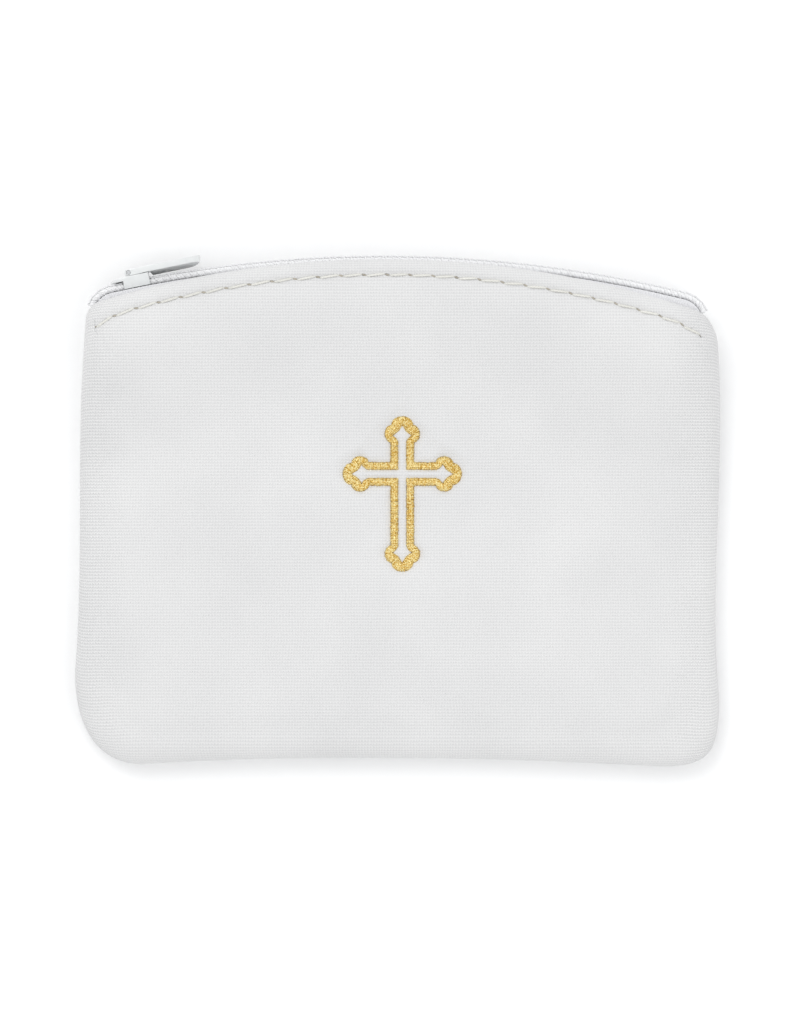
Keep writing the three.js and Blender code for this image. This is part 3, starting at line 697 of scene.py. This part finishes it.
def sheet_grid():
    """A flat grid over the front, its faces, and which of its points the sewing holds in place."""
    xs = np.arange(-half_w, half_w + SHEET_STEP, SHEET_STEP)
    ys = np.arange(bottom_y, hem_peak_y + SHEET_STEP, SHEET_STEP)
    x, y = (a.ravel() for a in np.meshgrid(xs, ys))
    faces = []
    for row in range(len(ys) - 1):
        for column in range(len(xs) - 1):
            corner = row * len(xs) + column
            faces.append((corner, corner + 1, corner + len(xs) + 1, corner + len(xs)))
    seam = np.hypot(np.maximum(np.abs(x) - half_w + 5, 0), np.maximum(-y - half_h + 6, 0)) > 0
    stitched = np.abs(below_stitching(x, y)) < 0.75 * SHEET_STEP
    embroidered = distance_to_band(np.stack([x, y], -1)) < 0.6 * SHEET_STEP
    beyond = y > hem_y(np.clip(x, -half_w, half_w)) - 0.6
    return x, y, faces, seam | stitched | embroidered | beyond


def settle_cloth():
    """A tree of the front's surface after a cloth simulation: the knit is a little too large for
    its place, and foam pushes it out between the seams, the topstitching and the cross."""
    x, y, faces, held = sheet_grid()
    points = np.stack([x, y, front_height(x, y)], -1) * SHEET_SCALE / MM
    sheet = mesh_object("settling_sheet", points, faces, knit)
    group = sheet.vertex_groups.new(name="held")
    group.add(np.flatnonzero(held).tolist(), 1.0, "REPLACE")
    cloth = sheet.modifiers.new("cloth", "CLOTH")
    cloth.settings.vertex_group_mass = "held"
    cloth.settings.quality = 6
    cloth.settings.mass = 0.15
    cloth.settings.tension_stiffness = 20
    cloth.settings.compression_stiffness = 20
    cloth.settings.bending_stiffness = 3
    cloth.settings.shrink_min = -0.006
    cloth.settings.use_pressure = True
    cloth.settings.uniform_pressure_force = 1.2
    cloth.settings.effector_weights.gravity = 0
    cloth.collision_settings.use_collision = False
    sheet.modifiers.new("smooth", "SUBSURF").levels = 2
    scene = bpy.context.scene
    for step in range(1, SETTLING_FRAMES + 1):
        scene.frame_set(step)
    settled = sheet.evaluated_get(bpy.context.evaluated_depsgraph_get()).to_mesh()
    corners = [v.co / SHEET_SCALE for v in settled.vertices]
    tree = BVHTree.FromPolygons(corners, [tuple(p.vertices) for p in settled.polygons])
    scene.frame_set(1)
    bpy.data.objects.remove(sheet)
    return tree


settled_cloth = settle_cloth()


def rise(x, y):
    """How far the cloth stands above the plain dome: as it settled, and a little uneven."""
    if settled_cloth is None:
        return waves(x, y)
    plain = front_height(x, y)
    heights = []
    for px, py, pz in zip(x, y, plain):
        hit = settled_cloth.ray_cast(Vector((px, py, 50)), Vector((0, 0, -1)))[0]
        heights.append(hit.z if hit else pz)
    return np.clip(np.array(heights) - plain, -MOST_RISE, MOST_RISE) + waves(x, y)


# ---- Panels ------------------------------------------------------------------------------------
EDGE_STEPS = 9
UNDER_STEPS = 4
MIDDLE_RINGS = 48  # fine rings under the cross, from the middle of the face to the last inset
OVERRUN = 1.6  # how far the flattened cloth runs past the outline, over the rounded edge
near_insets = [0.45, 0.9, 1.3, 1.8, 2.4, 3.1, 3.9, 4.8, 6.0]  # from the rounded edge inwards
wide_insets = list(np.arange(11.5, 30.1, 1.55))  # from the outline, beyond the near ones


def panel_rings(face, lining, rim, sign):
    """Rings of a panel's closed skin, from the middle of its face, round its edge, to its lining.
    sign is 1 for the front, whose face looks up, and -1 for the back. Each ring comes with its
    place on the flattened cloth and with a mark that is 1 on the outer face."""
    rings, cloth, outer = [], [], []

    def add(xy, z, flat, on_face):
        rings.append(np.column_stack([xy, z]))
        cloth.append(np.column_stack([flat, np.zeros(AROUND)]))
        outer.append(np.full(AROUND, on_face))

    last = inset(wide_insets[-1])
    middle = last.mean(0)
    for k in range(1, MIDDLE_RINGS):
        xy = middle + (last - middle) * k / MIDDLE_RINGS
        add(xy, face(xy), xy, 1.0)
    for d in wide_insets[::-1]:
        add(inset(d), face(inset(d)), inset(d), 1.0)
    for d in near_insets[::-1]:
        add(inset(bulge + d), face(inset(bulge + d)), inset(bulge + d), 1.0)
    for a in np.radians(np.linspace(90, 0, EDGE_STEPS)):
        xy = inset(bulge * (1 - math.cos(a)))
        rise_over_tuck = np.abs(face(xy) - rim) - tuck_height
        flat = inset(bulge - (1 - 2 * a / math.pi) * (bulge + OVERRUN))
        add(xy, rim + sign * (tuck_height + math.sin(a) * rise_over_tuck), flat, 1.0)
    for a in np.radians(np.linspace(0, 90, UNDER_STEPS + 1)[1:]):
        xy = inset(tuck * (1 - math.cos(a)))
        flat = inset(-OVERRUN - 4.0 * a / math.pi)
        add(xy, rim + sign * tuck_height * (1 - math.sin(a)), flat, 0.0)
    fold = rim + laminate * sign
    add(inset(allowance), rim, inset(-8.0), 0.0)
    add(inset(allowance), fold, inset(-9.0), 0.0)
    add(inset(bulge + 0.6), fold, inset(-14.0), 0.0)
    for d in (bulge + 0.6, 20.0, 30.0):
        xy = inset(d)
        add(xy, lining(xy), xy, 0.0)
    return rings, cloth, outer


def panel(name, face, lining, rim, sign):
    """A panel: its rings joined up, and closed at the middle of its face and of its lining."""
    rings, cloth, outer = panel_rings(face, lining, rim, sign)
    points = np.vstack(rings + [rings[0].mean(0), rings[-1].mean(0)])
    flat = np.vstack(cloth + [cloth[0].mean(0), cloth[-1].mean(0)])
    on_face = np.concatenate(outer + [[1.0], [0.0]])
    faces = ring_faces(len(rings), AROUND)
    first, last = len(points) - 2, len(points) - 1
    end = (len(rings) - 1) * AROUND
    for i in range(AROUND):
        j = (i + 1) % AROUND
        faces.append((first, i, j))
        faces.append((last, end + j, end + i))
    if sign < 0:
        faces = [f[::-1] for f in faces]
    far_from_row = -20.0
    below = np.where(on_face > 0, below_stitching(points[:, 0], points[:, 1]), far_from_row)
    seam = np.stack([stitch_phase(points[:, 0]), below, on_face], -1)
    return mesh_object(name, points, faces, knit, {"cloth": flat, "seam": seam})


def unpulled_front(xy):
    """The front face as it would be without the topstitching's groove and the cross's dent."""
    return front_height(xy[:, 0], xy[:, 1]) + rise(xy[:, 0], xy[:, 1])


def front_face(xy):
    return unpulled_front(xy) - pull(xy[:, 0], xy[:, 1]) - dent(xy[:, 0], xy[:, 1])


def front_lining(xy):
    return front_height(xy[:, 0], xy[:, 1]) - laminate


def unpulled_back(xy):
    return np.zeros(len(xy))


def back_face(xy):
    """The back is flat where it rests, and pulled in along its own row of stitches."""
    return np.clip(pull(xy[:, 0], xy[:, 1]), 0, None)


def back_lining(xy):
    return np.full(len(xy), laminate)


front = panel("front_panel_knit", front_face, front_lining, rim_front, 1)
back = panel("back_panel_knit", back_face, back_lining, np.full(AROUND, back_rim), -1)
for piece, node in ((front, "front_panel"), (back, "back_panel")):
    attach(piece, "pouch")
    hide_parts(node)


# ---- Zip chain ---------------------------------------------------------------------------------
chain_width = 3.8
coil_pitch = 1.23  # from turn to turn
coil_height = 1.4
coil_foot = 0.08  # coil above the tape
wire = 0.28  # radius of the coil's nylon wire
cord_out = 1.15  # the cord inside each coil, from the chain's middle
coil_top = 1.55  # top of the coil's thread above the tape
rows_part = 0.42  # how far each row moves out at the slider
tape = 0.4  # thickness of the tape
tape_radius = chain_top_radius - coil_top
tape_drop = 10.0  # how far the tape goes down behind the hems
tape_drop_at_end = 1.6
tape_end = 7.5  # how far the tape runs on past each end of the chain
tape_gap = 0.2  # between the tape and the hems
chain_inset = 6.65  # from the sides to where the chain leaves its arc and bends down
bend_radius = 4.0
bend_turn = math.radians(56)
bend_length = bend_radius * bend_turn
arc_left = tape_radius * math.asin((chain_inset - half_w - chain_x) / tape_radius)
arc_right = tape_radius * math.asin((half_w - chain_inset - chain_x) / tape_radius)
chain_left = arc_left - bend_length
chain_right = arc_right + bend_length


def chain_frame(s):
    """Place on the tape and the direction away from it, s millimetres along the chain from its
    peak. Past the chain's ends the tape runs straight down, into the side seams."""
    run = np.clip(s, arc_left, arc_right)
    turn = run / tape_radius
    bend = turn + np.clip((s - run) / bend_radius, -bend_turn, bend_turn)
    straight = (s - run) - np.clip(s - run, -bend_length, bend_length)
    arc = (tape_radius - bend_radius) * np.stack([np.sin(turn), np.cos(turn)], -1)
    end = bend_radius * np.stack([np.sin(bend), np.cos(bend)], -1)
    down = np.stack([0 * s, -np.abs(straight)], -1)
    place = np.array([chain_x, chain_y]) + arc + end + down
    up = np.stack([np.sin(bend), np.cos(bend)], -1)
    return place, up


def mouth(place):
    """Middle and half width of the mouth between the hems, which closes past the corners."""
    x, y = place[..., 0], place[..., 1]
    corner_y = np.where(x > 0, outline[right_corner, 1], outline[left_corner, 1])
    beyond = np.maximum(np.abs(x) - corner_x + 0.5, corner_y - y)
    top = mix(side_rim, hem_rim, hem_share(beyond)) - tape_gap
    return (top + back_rim + tape_gap) / 2, (top - back_rim - tape_gap) / 2


def on_chain(s, out, height, ahead=0.0):
    """Points of the chain: out is the distance from its middle, along Z, and height is over the
    tape. ahead moves a point along the chain."""
    s, out, height = np.broadcast_arrays(np.asarray(s, float), out, height)
    place, up = chain_frame(s + ahead)
    middle, _ = mouth(place)
    xy = place + up * height[..., None]
    return np.concatenate([xy, (middle + out)[..., None]], -1)


def spread_at_slider(s):
    """The rows part a little round the slider's web, and stay so to the closed end."""
    place, _ = chain_frame(s)
    return rows_part * smooth((slider_high[0] - 1.5 - place[..., 0]) / 4.5)


def squared(wave):
    """A sine wave with fuller tops, which makes a turn of the coil more square than round."""
    return np.sign(wave) * np.abs(wave) ** 0.75


def coil(side):
    """One nylon coil: a flattened helix whose heads reach between those of the other row."""
    steps = 16
    turns = int((chain_right - chain_left) / coil_pitch)
    phase = np.arange(turns * steps + 1) / steps
    angle = 2 * math.pi * phase
    s = chain_left + coil_pitch * (phase + (0.5 if side > 0 else 0.0))
    s = np.minimum(s, chain_right)
    head = -0.3  # the turns reach this far past the chain's middle
    tail = chain_width / 2 - wire
    out = (head + tail) / 2 - (tail - head) / 2 * squared(np.cos(angle)) + spread_at_slider(s)
    height = coil_foot + coil_height / 2 + (coil_height / 2 - wire) * squared(np.sin(angle))
    lean = 0.16 * np.sin(2 * angle)
    path = on_chain(s, side * out, height, ahead=lean)
    thick = wire * (1 + 0.12 * np.clip(np.cos(angle), 0, 1))
    return tube(path, thick, sides=8, guide=(0.31, 0.05, 0.95))


def coil_cord(side):
    """The fat soft cord that fills the coil, squeezed by its turns, and shows between them."""
    s = np.arange(chain_left, chain_right, coil_pitch / 8)
    shift = 0.5 if side > 0 else 0.0
    squeeze = np.cos(2 * math.pi * ((s - chain_left) / coil_pitch + shift))
    path = on_chain(s, side * (cord_out + spread_at_slider(s)), coil_foot + coil_height / 2)
    return tube(path, 0.54 - 0.03 * squeeze, sides=12, tone=0.7)


def coil_threads(side):
    """Two lines of stitching over each coil, which dip between its turns."""
    s = np.arange(chain_left, chain_right, coil_pitch / 6)
    parts = []
    for out, shift in ((0.72, 0.0), (1.30, 0.5)):
        dip = 0.5 + 0.5 * np.cos(2 * math.pi * (s / coil_pitch + shift))
        height = coil_foot + coil_height - 0.10 + 0.13 * dip
        wiggle = 0.06 * np.sin(2 * math.pi * (s / coil_pitch + shift))
        path = on_chain(s, side * (out + wiggle + spread_at_slider(s)), height)
        parts.append(tube(path, 0.13, sides=6, tone=0.4 + shift * 0.2))
    return join(parts)


def tape_half(side):
    """Half of the woven tape: flat under the coil, with a low ridge beside the hem, then folded
    down behind it. Its ends run down into the side seams, at the corners of the mouth."""
    step = 0.75
    s = np.arange(chain_left - tape_end, chain_right + tape_end + 0.01, step)
    place, _ = chain_frame(s)
    _, half = mouth(place)
    cut_short = smooth((np.abs(place[:, 0]) - corner_x + 15) / 9)
    above_hem = np.maximum(place[:, 1] - hem_y(place[:, 0]), 0)
    drop = above_hem + mix(tape_drop, tape_drop_at_end, cut_short)
    at_end = smooth(np.maximum(chain_left - s, s - chain_right) / 1.5)
    inner = mix(0.45, 0.05, at_end)
    level = np.zeros_like(s)
    narrow = np.clip(half - 0.1, 0, 1)
    # the ridge's section: how far back from the fold, as a share of narrow, and how high
    ridge = [(0.75, 0.0), (0.45, 0.03), (0.36, 0.1), (0.2, 0.14), (0.06, 0.1), (0.0, 0.0)]
    section = [(inner, level - tape), (inner, level)]
    section += [(half - back * narrow, level + height) for back, height in ridge]
    section += [(half, -drop), (half - tape, -drop), (half - tape, level - 0.6)]
    section += [(half - 0.75 * narrow, level - tape)]
    rings = []
    for out, low in section:
        parting = spread_at_slider(s) * (1 - at_end) * (out < 1)
        rings.append(on_chain(s, side * (out + parting), low))
    points = np.stack(rings, 1).reshape(-1, 3)
    count = len(section)
    faces = capped_faces(len(s), count)
    if side > 0:
        faces = [f[::-1] for f in faces]
    along = np.broadcast_to(s[:, None], (len(s), count)).reshape(-1)
    layer = np.stack([along, points[:, 1], points[:, 2]], -1)
    return points, faces, {"weave": layer}


def add_piece(name, data, material, node):
    """Makes a mesh of the pouch's body, which stands for a CAD node."""
    points, faces, layers = data
    obj = mesh_object(name, points, faces, material, layers)
    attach(obj, "pouch")
    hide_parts(node)


for side, label in ((1, "front"), (-1, "back")):
    for name, data, material, slot, node in (
        ("zip_coil_{}_helix", coil(side), nylon, "coil_nylon", "zip_coil_{}"),
        ("zip_coil_{}_filling", coil_cord(side), white, "white_thread", "zip_coil_cord_{}"),
        ("zip_coil_{}_sewing", coil_threads(side), white, "white_thread", "zip_coil_thread_{}"),
        ("zip_tape_{}_woven", tape_half(side), weave, "zip_tape", "zip_tape_{}"),
    ):
        add_piece(name.format(label), data, material, node.format(label))


# ---- Topstitching ------------------------------------------------------------------------------
def stitch_row(surface, sign):
    """Separate stitches that rise from their holes and lie a little askew. surface gives z at
    (x, y), and sign is the way out of it."""
    radius, hole_depth, hump_height, tilt = 0.2, 0.62, 0.54, 0.06
    parts = []
    for index in range(len(stitch_holes) - 1):
        local = np.random.default_rng(100 + index)
        a, b = stitch_holes[index], stitch_holes[index + 1]
        length = np.linalg.norm(b - a)
        along = (b - a) / length
        aside = np.array([-along[1], along[0]])
        t = np.linspace(-1, 1, 15)
        reach = (length / 2 - 0.32) * local.uniform(0.95, 1.0)
        skew = 0.16 + local.uniform(-0.05, 0.05)
        xy = (a + b) / 2 + np.outer(t * reach, along) + np.outer(t * skew, aside)
        hump = 1 - np.abs(t) ** 4
        z = surface(xy) + sign * (-hole_depth + hump_height * hump - tilt * t)
        width = radius * (0.74 + 0.26 * (1 - t**4))
        parts.append(tube(np.column_stack([xy, z]), width, sides=8, tone=local.uniform(0.3, 0.8)))
    return join(parts)


for surface, sign, label in ((unpulled_front, 1, "front"), (unpulled_back, -1, "back")):
    node = f"topstitch_needle_{label}"
    add_piece(f"topstitch_{label}", stitch_row(surface, sign), ivory, node)


# ---- Embroidery --------------------------------------------------------------------------------
def satin_stitches():
    """Metallic threads laid across the line of the cross, side by side, over a low padding."""
    pitch, radius, sunk, hump_height = 0.19, 0.15, 0.28, 0.40
    inner, outer = cross_stitches(pitch)
    local = np.random.default_rng(11)
    t = np.linspace(0, 1, 8)
    hump = np.sin(math.pi * t) ** 0.6
    parts = []
    for a, b in zip(inner, outer):
        jitter = local.normal(0, 0.03, 4)
        a, b = a + jitter[:2], b + jitter[2:]
        xy = mix(a, b, 0.04 + 0.92 * t[:, None])
        z = unpulled_front(xy) - sunk + hump_height * hump + local.uniform(-0.03, 0.03)
        width = radius * (0.7 + 0.3 * hump) * local.uniform(0.9, 1.1)
        parts.append(tube(np.column_stack([xy, z]), width, sides=6, tone=local.uniform(0, 1)))
    return join(parts)


add_piece("cross_satin_stitches", satin_stitches(), gold, "cross_embroidery")


# ---- Slider, pull tab and what stays as the frame has it ---------------------------------------
def softened(name, node, width, material, body):
    """A piece in the shape of a rigid CAD node, with its edges rounded over a width."""
    obj = frame["nodes"][node].copy()
    obj.data = obj.data.copy()
    obj.name = obj.data.name = name
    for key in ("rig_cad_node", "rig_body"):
        if key in obj:
            del obj[key]
    obj.parent = None
    bpy.context.scene.collection.objects.link(obj)
    bpy.context.view_layer.objects.active = obj
    weld = obj.modifiers.new("weld", "WELD")
    weld.merge_threshold = 0.000005
    planes = obj.modifiers.new("planes", "DECIMATE")
    planes.decimate_type = "DISSOLVE"
    planes.angle_limit = math.radians(1)
    bevel = obj.modifiers.new("bevel", "BEVEL")
    bevel.width = width * MM
    bevel.segments = 3
    bevel.limit_method = "ANGLE"
    bevel.angle_limit = math.radians(38)
    bevel.harden_normals = False
    for modifier in list(obj.modifiers):
        bpy.ops.object.modifier_apply(modifier=modifier.name)
    obj.data.materials.clear()
    obj.data.materials.append(material)
    obj.data.shade_smooth()
    obj.data.set_sharp_from_angle(angle=math.radians(35))
    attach(obj, body)
    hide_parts(node)


softened("slider_casting", "slider_body", 0.26, enamel, "slider")
softened("pull_tab_bar", "pull_tab", 0.2, enamel, "pull_tab")

kept = {
    "topstitch_bobbin_front": ivory,
    "topstitch_bobbin_back": ivory,
    "side_seam_needle_thread": white,
    "side_seam_bobbin_thread": white,
    "cross_bobbin_thread": white,
    "pull_tab_pin": steel,
}
for node, material in kept.items():
    data = frame["nodes"][node].data
    data.materials.clear()
    data.materials.append(material)


# ---- Stage, light and camera -------------------------------------------------------------------
def studio():
    """A pale floor under an even sky, two soft lights, and the camera straight above."""
    scene = bpy.context.scene
    reach = 3000
    level = -0.05  # just under the pouch
    corners = [(x * reach, y * reach, level) for x, y in ((-1, -1), (1, -1), (1, 1), (-1, 1))]
    floor = mesh_object("floor", corners, [(0, 1, 2, 3)], floor_material())
    world = bpy.data.worlds.new("studio")
    scene.world = world
    world.use_nodes = True
    background = world.node_tree.nodes["Background"]
    background.inputs["Color"].default_value = (0.985, 0.992, 1, 1)
    background.inputs["Strength"].default_value = 0.93
    for name, place, size, power in (
        ("key", (-0.5, 0.9, 1.6), 1.0, 9.0),
        ("fill", (0.9, -0.5, 1.4), 1.0, 3.0),
    ):
        light = bpy.data.lights.new(name, "AREA")
        light.shape = "SQUARE"
        light.size = size
        light.energy = power
        lamp = bpy.data.objects.new(name, light)
        lamp.location = place
        lamp.rotation_euler = (-Vector(place)).to_track_quat("-Z", "Y").to_euler()
        scene.collection.objects.link(lamp)
    camera = bpy.data.objects.new("camera", bpy.data.cameras.new("camera"))
    distance = 1.2  # in metres, from the front's face
    face = 0.010
    view_height = 0.1801  # what the picture takes in at that distance
    sensor = 36.0
    camera.location = (0.00035, -0.0001, distance + face)
    camera.data.sensor_width = sensor
    camera.data.lens = sensor * distance / view_height
    scene.collection.objects.link(camera)
    scene.camera = camera
    scene.view_settings.view_transform = "Standard"


studio()
